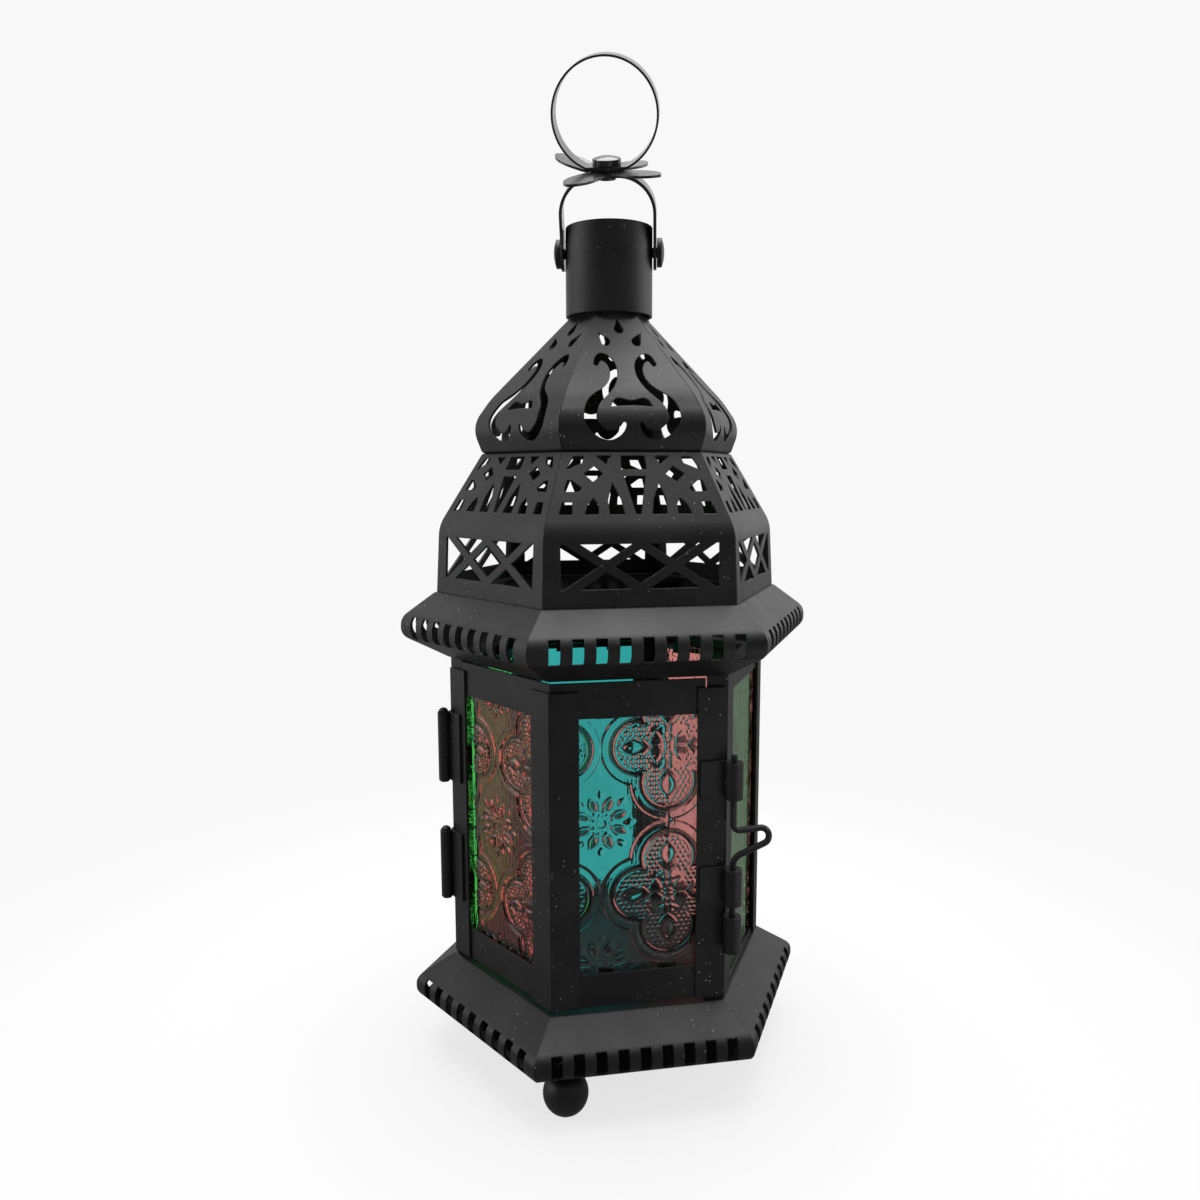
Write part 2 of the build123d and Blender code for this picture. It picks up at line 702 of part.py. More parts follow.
def drop_window(lean):
    """Teardrop, point up, about its own middle."""
    tip = (0, DROP_L / 2)
    round_z = DROP_W / 2 - DROP_L / 2
    arc = ThreePointArc((-DROP_W / 2, round_z), (0, -DROP_L / 2), (DROP_W / 2, round_z))
    sides = Polyline((DROP_W / 2, round_z), tip, (-DROP_W / 2, round_z))
    return Rotation(0, 0, lean) * make_face([arc.edge(), *sides.edges()])


def lobed_slot():
    """Slot of two drooping lobes with a dip in the middle of its upper edge."""
    half, z = dome_spot(LOBE_T, LOBE_Q)
    upper = Spline(
        (-half, z - LOBE_H / 2),
        (-half * 0.55, z + LOBE_H / 2),
        (0, z + LOBE_H / 2 - LOBE_DIP),
        (half * 0.55, z + LOBE_H / 2),
        (half, z - LOBE_H / 2),
    )
    low = z - LOBE_H / 2
    lower = ThreePointArc((-half, low), (0, low + LOBE_DIP / 2), (half, low))
    return make_face([upper.edge(), lower.edge()])


def dome_panel():
    chain = [
        (TIER_TOP_R - TIER_FLANGE, Z_DOME),
        (TIER_TOP_R, Z_DOME),
        (DOME_BULGE_R, Z_DOME + DOME_BULGE_Z),
        (DOME_SHOULDER_R, Z_DOME + DOME_SHOULDER_Z),
        (COLLAR_R, Z_DOME + DOME_TOP_Z),
        (COLLAR_R, Z_DOME + DOME_TOP_Z + COLLAR_H),
    ]
    shoulder = bend_radius(*chain[2:5], DOME_SHOULDER_ROUND)
    panel = face_panel(chain, [BEND, DOME_BULGE_BEND, shoulder, COLLAR_BEND], SEAM)
    scroll = scroll_window()
    side_s, side_z = dome_spot(SIDE_DROP_T, SIDE_DROP_Q)
    outlines = [
        scroll,
        mirror(scroll, Plane.YZ),
        Pos(*dome_spot(0, TOP_DROP_Q)) * drop_window(0),
        Pos(side_s, side_z) * drop_window(-SIDE_DROP_LEAN),
        Pos(-side_s, side_z) * drop_window(SIDE_DROP_LEAN),
        lobed_slot(),
    ]
    return panel - punch(outlines)


def chimney():
    tube = extrude(Circle(CHIMNEY_R) - Circle(CHIMNEY_R - SHEET), amount=CHIMNEY_H)
    tube = Pos(0, 0, Z_CHIMNEY) * tube
    hole = Pos(0, 0, Z_RIVET) * Rotation(0, 90, 0) * Cylinder(BAIL_RIVET_R + SLIP, 3 * CHIMNEY_R)
    return tube - turned(hole, BAIL_AZIMUTH)


def bail_rivets():
    ear_out = CHIMNEY_R + BAIL_GAP + BAIL_T + LAID
    bore = CHIMNEY_R - SHEET
    tail_seat = math.sqrt(bore**2 - RIVET_TAIL_R**2) - LAID
    rivet = stud(
        BAIL_RIVET_HEAD_R, BAIL_RIVET_HEAD, BAIL_RIVET_R, ear_out - tail_seat, RIVET_TAIL_R, RIVET_TAIL
    )
    placed = Pos(0, 0, Z_RIVET) * (Pos(ear_out, 0, 0) * Rotation(0, 90, 0) * rivet)
    return [turned(placed, BAIL_AZIMUTH), turned(placed, BAIL_AZIMUTH + 180)]


def leaned(shape):
    """A piece built upright about the rivet axis (along X at z = 0), put in its leaning place."""
    return Pos(0, 0, Z_RIVET) * Rotation(0, 0, BAIL_AZIMUTH) * Rotation(BAIL_LEAN, 0, 0) * shape


def bail():
    out = CHIMNEY_R + BAIL_GAP + BAIL_T
    chain = [(out, 0), (out, BAIL_RISE), (-out, BAIL_RISE), (-out, 0)]
    section = Plane.XZ * bent_strip(chain, [BAIL_BEND, BAIL_BEND], BAIL_T)
    strap = extrude(section, amount=BAIL_W / 2, both=True)
    for s in (out - BAIL_T / 2, BAIL_T / 2 - out):
        strap += Pos(s, 0, 0) * Rotation(0, 90, 0) * Cylinder(EAR_R, BAIL_T)
    strap -= Rotation(0, 90, 0) * Cylinder(BAIL_RIVET_R + SLIP, 3 * out)
    strap -= Pos(0, 0, BAIL_RISE) * Cylinder(TOP_RIVET_R + SLIP, 4 * BAIL_T)
    return leaned(strap)


def rosette():
    """Four petals round a flat hub, each with its tip bent up or down a little."""
    top = BAIL_RISE + ROSETTE_T
    root = PETAL_ROOT_W / 2
    wide = PETAL_W / 2
    spots = ((0, root), (0.35, 0.8 * wide), (0.66, wide), (0.92, 0.55 * wide), (1, 0))
    edge = Spline(*[(share * PETAL_L, y) for share, y in spots])
    far_edge = mirror(edge, Plane.XZ)
    petal = make_face([edge.edge(), far_edge.edge(), Line((0, root), (0, -root)).edge()])
    punched = Pos(0, 0, BAIL_RISE - PETAL_L / 2) * extrude(petal, amount=PETAL_L)
    flower = Pos(0, 0, BAIL_RISE) * extrude(Circle(root * 1.5), amount=ROSETTE_T)
    for i, rise in enumerate(PETAL_RISES):
        chain = [(PETAL_L + 1, top + rise), (ROSETTE_HUB_R, top), (0, top)]
        dish = revolve(Plane.XZ * bent_strip(chain, [ROSETTE_BEND], ROSETTE_T), Axis.Z)
        flower += turned(dish & punched, ROSETTE_TURN + i * 360 / len(PETAL_RISES))
    flower -= Pos(0, 0, top) * Cylinder(TOP_RIVET_R + SLIP, 4 * ROSETTE_T)
    return leaned(flower)


def hanging_ring():
    """Flat strap ring, flattened at the bottom where its two ends lap over each other."""
    seat = BAIL_RISE + ROSETTE_T + LAID
    middle = RING_R - RING_FLAT
    lap = 2 * RING_T
    inner_r = RING_R - RING_T
    outer = Circle(RING_R) & (Pos(0, RING_R - middle) * Rectangle(2 * RING_R, 2 * RING_R))
    inner = Circle(inner_r) & (Pos(0, RING_R - middle + lap) * Rectangle(2 * RING_R, 2 * RING_R))
    ring = extrude(Plane.XZ * (outer - inner), amount=RING_W / 2, both=True)
    ring -= Pos(0, 0, -middle) * Cylinder(TOP_RIVET_R + SLIP, 4 * lap)
    return leaned(Pos(0, 0, seat + middle) * Rotation(0, 0, RING_TURN) * ring)


def top_rivet():
    """Rivet that joins bail and rosette and leaves the ring free to turn under its head."""
    head_seat = BAIL_RISE + ROSETTE_T + LAID + 2 * RING_T + LAID
    shank = head_seat - (BAIL_RISE - BAIL_T)
    rivet = stud(TOP_RIVET_HEAD_R, TOP_RIVET_HEAD, TOP_RIVET_R, shank, RIVET_TAIL_R, RIVET_TAIL)
    return leaned(Pos(0, 0, head_seat) * rivet)


def build():
    """Every piece of the lantern, as a node name and the list of its solids."""
    nodes = {"base_skirt": base_skirt(), "floor_plate": floor_plate(), "foot_screws": foot_screws()}
    for name, angle in FOOT_ANGLES.items():
        nodes[name] = ball_foot(angle)
    nodes.update(fixed_posts())
    fixed_normals = [FACE_ANGLES[face] - 90 for face in FIXED_FACES]
    nodes["lower_band"] = folded_band(fixed_normals, (Z_SILL, Z_SILL + SILL_LIP))
    nodes["upper_band"] = folded_band(fixed_normals, (Z_FIXED_TOP, Z_EAVE))
    nodes.update(door_stiles())
    door_normals = [FACE_ANGLES[face] - 90 for face in DOOR_FACES]
    nodes["door_lower_band"] = folded_band(door_normals, (Z_DOOR, Z_VIEW))
    nodes["door_upper_band"] = folded_band(door_normals, (Z_VIEW_TOP, Z_DOOR_TOP + BAND_RISE))
    for face in FACE_ANGLES:
        nodes["pane_" + face] = pane(face)
    nodes["glass_clips"] = glass_clips(FIXED_FACES, (band_tab(Z_FIXED_TOP, 1), sill_tab()))
    nodes["door_glass_clips"] = glass_clips(DOOR_FACES, (band_tab(Z_VIEW_TOP, 1), band_tab(Z_VIEW, -1)))
    for name, level in HINGE_LEVELS.items():
        door_leaf, frame_leaf, pin = hinge(level)
        nodes[name + "_hinge_door_leaf"] = door_leaf
        nodes[name + "_hinge_frame_leaf"] = frame_leaf
        nodes[name + "_hinge_pin"] = pin
    nodes["latch_guide_upper"] = latch_leaf(1, GUIDE_UPPER_Z, "front")
    nodes["latch_guide_lower"] = latch_leaf(1, GUIDE_LOWER_Z, "front")
    nodes["latch_keeper"] = latch_leaf(-1, KEEPER_Z, "right")
    nodes["latch_bolt"] = latch_bolt()
    nodes["eave_skirt"] = eave_skirt()
    wall, dome = roof_wall(), dome_panel()
    for face, angle in FACE_ANGLES.items():
        nodes["roof_wall_" + face] = turned(wall, angle)
        nodes["dome_panel_" + face] = turned(dome, angle)
    nodes["chimney"] = chimney()
    nodes["bail_rivets"] = bail_rivets()
    nodes["bail"] = bail()
    nodes["rosette"] = rosette()
    nodes["top_rivet"] = top_rivet()
    nodes["hanging_ring"] = hanging_ring()
    return nodes


def main():
    os.makedirs("parts", exist_ok=True)
    for name, piece in build().items():
        solids = piece if isinstance(piece, list) else [piece]
        whole = Compound(children=[solid for shape in solids for solid in shape.solids()])
        export_step(whole, os.path.join("parts", name + ".step"))


main()
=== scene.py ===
"""Six-sided candle lantern: black painted sheet metal, embossed coloured glass, plain studio."""
import math

import bpy
from mathutils import Matrix, Vector


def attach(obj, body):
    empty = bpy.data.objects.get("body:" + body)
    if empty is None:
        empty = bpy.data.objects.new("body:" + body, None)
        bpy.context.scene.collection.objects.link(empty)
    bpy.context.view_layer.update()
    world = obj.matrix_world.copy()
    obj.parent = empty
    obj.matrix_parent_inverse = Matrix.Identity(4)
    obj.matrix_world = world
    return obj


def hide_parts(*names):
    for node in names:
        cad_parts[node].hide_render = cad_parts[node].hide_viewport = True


MM = 0.001
PER_METRE = 1000.0

# Viewpoint
CAMERA_AT = (-0.0576, -0.3025, 0.18025)
CAMERA_LOOK = (0.1762, 0.9762, -0.1260)
CAMERA_ROLL = -0.14
CAMERA_LENS = 29.76
CAMERA_SENSOR = 36.0
CAMERA_NEAR = 0.01

# Glass of each face: its turn, the place of a flower, depth of relief, painted shade in its recesses and
# colour
FACES = {
    "front": {
        "turn": 0, "body": "door", "slot": "clear_glass", "flower": (-10.4, 84.0),
        "relief": 0.6, "painted_recess_shade": 0.85, "colour": (0.93, 0.95, 0.94),
    },
    "right": {
        "turn": 60, "body": "lantern", "slot": "green_glass", "flower": (6.0, 70.0),
        "relief": 0.4, "painted_recess_shade": 0.3, "colour": (0.06, 0.40, 0.07),
    },
    "back_right": {
        "turn": 120, "body": "lantern", "slot": "red_glass", "flower": (-4.0, 95.0),
        "relief": 0.35, "painted_recess_shade": 0.0, "colour": (0.64, 0.22, 0.21),
    },
    "back": {
        "turn": 180, "body": "lantern", "slot": "teal_glass", "flower": (2.0, 66.0),
        "relief": 0.35, "painted_recess_shade": 0.0, "colour": (0.035, 0.42, 0.40),
    },
    "back_left": {
        "turn": 240, "body": "lantern", "slot": "green_glass", "flower": (-14.0, 88.0),
        "relief": 0.4, "painted_recess_shade": 0.0, "colour": (0.08, 0.55, 0.09),
    },
    "left": {
        "turn": 300, "body": "door", "slot": "red_glass", "flower": (-2.85, 76.6),
        "relief": 0.5, "painted_recess_shade": 0.6, "colour": (0.80, 0.15, 0.13),
    },
}
PATTERN_INSIDE = ("right",)
GRID_STEP = 0.28
# Painted shade in the recesses of the pattern: the heights over which it fades out, and its near-black colour
RECESS_SHADE_LEVELS = (0.02, 0.26)
RECESS_SHADE_COLOUR = (0.012, 0.014, 0.013, 1)
GLASS_IOR = 1.5
THIN_TINT = 0.9
RIPPLE_SCALE = 420.0
RIBBING_SCALE = 900.0
RIBBING_STRETCH = (1, 1, 0.1)

# Embossed pattern, in millimetres: quatrefoils on a grid with a flower in every space between.
# A pointed oval is given by its distance from the middle, half its width and half its length.
CELL_W = 38.5
CELL_H = 42.4
LOBE_R = 8.7
SIDE_LOBE = 8.35
END_LOBE = 10.2
STRAP_W = 2.1
RIB_INSET = 1.75
RIB_HALF_W = 0.55
END_PETAL = (11.2, 2.0, 3.2)
SIDE_PETAL = (10.3, 1.9, 3.1)
END_CALYX = (11.2, 3.5, 5.2)
SIDE_CALYX = (10.3, 3.3, 5.3)
CALYX_END = 8.9
CALYX_SIDE = 8.1
CALYX_FADE = 0.7
BOSS_AT = (3.45, 4.7)
BOSS_R = 2.4
EYE = (0.0, 1.7, 2.7)
ARM_HALF_W = 0.45
MIDDLE_HALF = (5.4, 6.6)
BEADED_INSET = 2.35
DIMPLE_PITCH = 1.5
DIMPLE_R = 0.48
STUD_R = 0.9
FLOWER_PETALS = 8
FLOWER_PETAL = (5.6, 1.15, 2.4)
FLOWER_LEAF = (8.3, 0.9, 1.5)
FLOWER_LOOP_AT = 2.85
FLOWER_LOOP = (0.8, 0.34)
FLOWER_EYE = (1.6, 0.4)

# Heights in the pattern, as shares of the relief
GROUND = 0.3
STRAP_H = 0.6
RIB_H = 0.9
PETAL_H = 0.85
CALYX_H = 0.8
BOSS_H = 0.75
ARM_H = 0.8
EYE_RIM_H = 0.8
EYE_H = 0.6
BEADED_H = 0.8
DIMPLE_DEPTH = 0.7
STUD_H = 0.7
FLOWER_PETAL_H = 0.7
FLOWER_LEAF_H = 0.65
FLOWER_RING_H = 0.6

# Paint: roughness and gloss of its two finishes, its colour, dust and unevenness, with scales per metre
SATIN = {"roughness": 0.36, "gloss": 0.4}
POLISH = {"roughness": 0.12, "gloss": 0.8}
POLISHED_NODES = ("rosette", "hanging_ring", "top_rivet", "bail")
PAINT_BLACK = (0.0058, 0.0058, 0.0062, 1)
DUST_COLOUR = (0.55, 0.54, 0.52, 1)
DUST_SCALE = 950.0
DUST_SIZE = (0.08, 0.22)
DUST_CHANCE = (0.78, 0.80)
DUST_PATCH_SCALE = 28.0
HAZE_SCALE = 60.0
HAZE = 0.012
SHEEN_SCALE = 90.0
PEEL_SCALE = 1300.0
WAVE_SCALE = 45.0
SOFT_EDGE = 0.0004
BUMP_DEPTH = 0.0002

# Brightness of the background and, as mirrored in the lantern, of the room and the floor
PALE = 0.939
ROOM_DARK = 0.10
ROOM_LIFT = 0.9
ROOM_BLEND = (-0.55, 0.25)
LEFT_DIM = 0.3
LEFT_BLEND = (0.1, 0.5)
FLOOR_DARK = 0.10
FLOOR_RIGHT = 0.9
FLOOR_LEFT = 0.42
FLOOR_PALE = 0.26
BEHIND_BLEND = (-0.25, 0.1)
NEAR_BLEND = (-0.55, -0.3)
RIGHT_PATCH = (0.02, 0.12)
LEFT_PATCH = (0.05, 0.3)
FLOOR_REACH = 3.0
SHADOW = 0.2
SHADOW_REACH = (0.10, 0.32)

# Lamps, all aimed at the middle of the lantern
LAMP_TARGET = (0, 0, 0.15)
LAMPS = {
    "lamp_top": {"place": (0.0, 0.05, 1.1), "size": 0.9, "power": 12.0},
    "lamp_left": {"place": (-1.1, 0.1, 0.4), "size": 0.8, "power": 2.2},
    "lamp_right": {"place": (1.1, 0.1, 0.5), "size": 0.8, "power": 2.0},
}


class Field:
    """A number that varies over a surface, built up as math nodes of one tree."""

    def __init__(self, tree, socket):
        self.tree = tree
        self.socket = socket

    def math(self, operation, *others):
        node = self.tree.nodes.new("ShaderNodeMath")
        node.operation = operation
        for i, value in enumerate((self, *others)):
            if isinstance(value, Field):
                self.tree.links.new(value.socket, node.inputs[i])
            else:
                node.inputs[i].default_value = value
        return Field(self.tree, node.outputs[0])

    def __add__(self, other):
        return self.math("ADD", other)

    def __sub__(self, other):
        return self.math("SUBTRACT", other)

    def __mul__(self, other):
        return self.math("MULTIPLY", other)

    def __truediv__(self, other):
        return self.math("DIVIDE", other)

    def __neg__(self):
        return self * -1.0

    def __abs__(self):
        return self.math("ABSOLUTE")

    def least(self, other):
        return self.math("MINIMUM", other)

    def most(self, other):
        return self.math("MAXIMUM", other)

    def root(self):
        return self.most(0.0).math("SQRT")

    def flipped(self):
        """One minus the field."""
        return -self + 1.0

    def wrapped(self, period):
        return self.math("WRAP", period / 2, -period / 2)

    def square(self):
        return self * self

    def step(self, low, high):
        """Smooth rise from 0 at low to 1 at high."""
        node = self.tree.nodes.new("ShaderNodeMapRange")
        node.interpolation_type = "SMOOTHSTEP"
        self.tree.links.new(self.socket, node.inputs["Value"])
        node.inputs["From Min"].default_value = low
        node.inputs["From Max"].default_value = high
        return Field(self.tree, node.outputs["Result"])

    def edge(self, at, softness):
        """0 below a soft edge and 1 above it."""
        return self.step(at - softness, at + softness)

    def ridge(self, at, half_width):
        """Rounded ridge along the line where the field equals at."""
        return ((self - at) / half_width).square().flipped().most(0.0)


def length(x, y):
    return (x.square() + y.square()).root()


def oval(across, along, sizes):
    """Pointed oval some way along a line: 1 in its middle, 0 on its outline."""
    distance, half_width, half_length = sizes
    return (abs(across) / half_width + ((along - distance) / half_length).square()).flipped()


def disc(x, y, radius):
    """1 in the middle of a disc, 0 on its rim."""
    return ((x.square() + y.square()) / (radius * radius)).flipped()


def dimples(x, y):
    """Round dimples in staggered rows: 1 in the middle of each, 0 on its rim and between them."""
    row = DIMPLE_PITCH * math.sqrt(3)
    one = length(x.wrapped(DIMPLE_PITCH), y.wrapped(row))
    two = length((x + DIMPLE_PITCH / 2).wrapped(DIMPLE_PITCH), (y + row / 2).wrapped(row))
    return (one.least(two) / DIMPLE_R).square().flipped().root()


def pattern_height(x, y):
    """Height of the embossed pattern, 0 to 1, at a point given in millimetres from a flower."""
    u = (x + CELL_W / 2).wrapped(CELL_W)
    v = (y + CELL_H / 2).wrapped(CELL_H)
    a, b = abs(u), abs(v)

    outline = length(a - SIDE_LOBE, b).least(length(a, b - END_LOBE)) - LOBE_R
    outside = outline.edge(0.0, 0.15)
    strap = outside * outline.edge(STRAP_W, 0.2).flipped()
    height = outside * GROUND + strap * STRAP_H
    height = height + outline.ridge(-RIB_INSET, RIB_HALF_W) * RIB_H

    petal = oval(a, b, END_PETAL).most(oval(b, a, SIDE_PETAL))
    calyx = oval(a, b, END_CALYX).most(oval(b, a, SIDE_CALYX))
    near_eye = b.edge(CALYX_END, CALYX_FADE).flipped() * a.edge(CALYX_SIDE, CALYX_FADE).flipped()
    height = height + petal.step(0.0, 0.8) * PETAL_H
    height = height + calyx.ridge(0.0, 0.15) * near_eye * CALYX_H

    boss = disc(a - BOSS_AT[0], b - BOSS_AT[1], BOSS_R)
    eye = oval(b, a, EYE)
    arms = a.ridge(0.0, ARM_HALF_W).most(b.ridge(0.0, ARM_HALF_W))
    arms = arms * eye.edge(0.0, 0.1).flipped() * calyx.edge(0.0, 0.1).flipped()
    middle = disc(a / MIDDLE_HALF[0], b / MIDDLE_HALF[1], 1.0).edge(0.0, 0.05)
    height = height + boss.root() * BOSS_H + arms * middle * ARM_H
    height = height + eye.ridge(0.15, 0.3) * EYE_RIM_H + eye.step(0.4, 0.9) * EYE_H

    plain = petal.step(-0.3, -0.15).most(calyx.step(-0.15, 0.0) * near_eye).most(middle)
    beaded = outline.edge(-BEADED_INSET, 0.1).flipped() * plain.flipped()
    height = height + beaded * (dimples(u, v) * -DIMPLE_DEPTH + BEADED_H)

    height = height + disc(a, b - CELL_H / 2, STUD_R).root() * STUD_H
    return height + flower_height(-(a - CELL_W / 2), -(b - CELL_H / 2))


def flower_height(x, y):
    """Flower in the space between four quatrefoils: petals, a loop at the foot of each, leaves and an eye."""
    radius = length(x, y)
    angle = y.math("ARCTAN2", x)
    sweep = math.tau / FLOWER_PETALS
    petal_turn = (angle + sweep / 2).wrapped(sweep)
    along = radius * petal_turn.math("COSINE")
    across = radius * petal_turn.math("SINE")
    petal = oval(across, along, FLOWER_PETAL)
    height = petal.ridge(0.1, 0.45) * FLOWER_PETAL_H - petal.step(0.3, 0.6) * GROUND
    height = height + length(along - FLOWER_LOOP_AT, across).ridge(*FLOWER_LOOP) * FLOWER_RING_H
    height = height + radius.ridge(*FLOWER_EYE) * FLOWER_RING_H
    leaf_turn = angle.wrapped(sweep)
    leaf = oval(radius * leaf_turn.math("SINE"), radius * leaf_turn.math("COSINE"), FLOWER_LEAF)
    return height + leaf.root() * FLOWER_LEAF_H


def add_node(tree, kind, **values):
    """New node with its inputs set by name."""
    node = tree.nodes.new(kind)
    for name, value in values.items():
        node.inputs[name].default_value = value
    return node


def embossed_glass_tree():
    """Closed pane: a finely divided slab whose outer side carries the pattern."""
    tree = bpy.data.node_groups.new("embossed_glass", "GeometryNodeTree")
    tree.interface.new_socket(name="Geometry", in_out="OUTPUT", socket_type="NodeSocketGeometry")
    for name in ("Width", "Height", "Thickness", "Relief", "Flower X", "Flower Y", "Painted Recess Shade"):
        tree.interface.new_socket(name=name, in_out="INPUT", socket_type="NodeSocketFloat")
    for name in ("Columns", "Rows"):
        tree.interface.new_socket(name=name, in_out="INPUT", socket_type="NodeSocketInt")
    tree.interface.new_socket(name="Glass", in_out="INPUT", socket_type="NodeSocketMaterial")
    given = tree.nodes.new("NodeGroupInput").outputs
    links = tree.links

    size = tree.nodes.new("ShaderNodeCombineXYZ")
    for axis, name in zip("XYZ", ("Width", "Height", "Thickness")):
        links.new(given[name], size.inputs[axis])
    slab = tree.nodes.new("GeometryNodeMeshCube")
    links.new(size.outputs[0], slab.inputs["Size"])
    links.new(given["Columns"], slab.inputs["Vertices X"])
    links.new(given["Rows"], slab.inputs["Vertices Y"])

    place = tree.nodes.new("ShaderNodeSeparateXYZ")
    links.new(tree.nodes.new("GeometryNodeInputPosition").outputs[0], place.inputs[0])
    x, y, z = (Field(tree, place.outputs[axis]) for axis in "XYZ")
    right = (x - Field(tree, given["Flower X"])) * PER_METRE
    up = (y - Field(tree, given["Flower Y"])) * PER_METRE
    height = pattern_height(right, up).least(1.0)
    sunk = -(height.flipped() * Field(tree, given["Relief"]))
    # Painted shade: the recesses of the pattern are marked so that the glass colour is darkened there, more
    # on some faces than others
    painted_recess_shade = height.step(*RECESS_SHADE_LEVELS).flipped() * Field(tree, given["Painted Recess Shade"])
    lift = tree.nodes.new("ShaderNodeCombineXYZ")
    links.new(sunk.socket, lift.inputs["Z"])
    outer = z.math("GREATER_THAN", 0.0)

    marked = tree.nodes.new("GeometryNodeStoreNamedAttribute")
    marked.data_type = "FLOAT"
    marked.inputs["Name"].default_value = "painted_recess_shade"
    links.new(slab.outputs["Mesh"], marked.inputs["Geometry"])
    links.new(painted_recess_shade.socket, marked.inputs["Value"])
    moved = tree.nodes.new("GeometryNodeSetPosition")
    links.new(marked.outputs["Geometry"], moved.inputs["Geometry"])
    links.new(outer.socket, moved.inputs["Selection"])
    links.new(lift.outputs[0], moved.inputs["Offset"])
    smooth = tree.nodes.new("GeometryNodeSetShadeSmooth")
    links.new(moved.outputs[0], smooth.inputs["Geometry"])
    real = tree.nodes.new("GeometryNodeRealizeInstances")
    links.new(smooth.outputs[0], real.inputs[0])
    coloured = tree.nodes.new("GeometryNodeSetMaterial")
    links.new(real.outputs[0], coloured.inputs["Geometry"])
    links.new(given["Glass"], coloured.inputs["Material"])
    links.new(coloured.outputs[0], tree.nodes.new("NodeGroupOutput").inputs[0])
    return tree


def grown(name, tree, values):
    """Object with the plain mesh that a geometry tree makes from the given inputs."""
    piece = bpy.data.objects.new(name, bpy.data.meshes.new(name))
    bpy.context.scene.collection.objects.link(piece)
    modifier = piece.modifiers.new("shape", "NODES")
    modifier.node_group = tree
    for item in tree.interface.items_tree:
        if item.in_out == "INPUT":
            modifier[item.identifier] = values[item.name]
    graph = bpy.context.evaluated_depsgraph_get()
    mesh = bpy.data.meshes.new_from_object(piece.evaluated_get(graph))
    piece.modifiers.clear()
    piece.data = mesh
    return piece


def pane_span(plain_pane, turn):
    """Lowest and highest corner of a plain pane turned to the front: along the face, depth and height."""
    turn_back = Matrix.Rotation(-math.radians(turn), 3, "Z")
    corners = [turn_back @ vertex.co for vertex in plain_pane.data.vertices]
    low = Vector([min(corner[axis] for corner in corners) for axis in range(3)])
    high = Vector([max(corner[axis] for corner in corners) for axis in range(3)])
    return low, high


def glaze(face, facts, plain_pane, tree):
    """Embossed pane in the place of the plain one."""
    low, high = pane_span(plain_pane, facts["turn"])
    wide, thick, tall = high - low
    middle = (low + high) / 2
    inward = face in PATTERN_INSIDE
    flower_s, flower_z = facts["flower"]
    pane = grown(
        "glass_" + face,
        tree,
        {
            "Width": wide,
            "Height": tall,
            "Thickness": thick,
            "Relief": facts["relief"] * MM,
            "Flower X": (flower_s * MM - middle.x) * (-1 if inward else 1),
            "Flower Y": flower_z * MM - middle.z,
            "Painted Recess Shade": facts["painted_recess_shade"],
            "Columns": round(wide / MM / GRID_STEP),
            "Rows": round(tall / MM / GRID_STEP),
            "Glass": coloured_glass("glass_" + face, facts["colour"]),
        },
    )
    upright = Matrix(((1, 0, 0, 0), (0, 0, -1, 0), (0, 1, 0, 0), (0, 0, 0, 1)))
    about = Matrix.Rotation(math.pi if inward else 0.0, 4, "Z")
    turn = Matrix.Rotation(math.radians(facts["turn"]), 4, "Z")
    pane.data.transform(turn @ Matrix.Translation(middle) @ about @ upright)
    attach(pane, facts["body"])
    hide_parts("pane_" + face)


def new_material(name):
    material = bpy.data.materials.new(name)
    material.use_nodes = True
    tree = material.node_tree
    return material, tree, tree.nodes["Principled BSDF"]


def place_on(tree):
    return tree.nodes.new("ShaderNodeTexCoord").outputs["Object"]


def noise(tree, place, scale, detail=2.0):
    node = add_node(tree, "ShaderNodeTexNoise", Scale=scale, Detail=detail)
    tree.links.new(place, node.inputs["Vector"])
    return Field(tree, node.outputs["Fac"])


def colour_mix(tree, share, first, second):
    """Colour that goes from the first to the second with a share. Each is a colour or a socket."""
    mix = tree.nodes.new("ShaderNodeMix")
    mix.data_type = "RGBA"
    tree.links.new(share, mix.inputs["Factor"])
    for name, colour in (("A", first), ("B", second)):
        if isinstance(colour, tuple):
            mix.inputs[name].default_value = colour
        else:
            tree.links.new(colour, mix.inputs[name])
    return mix.outputs["Result"]


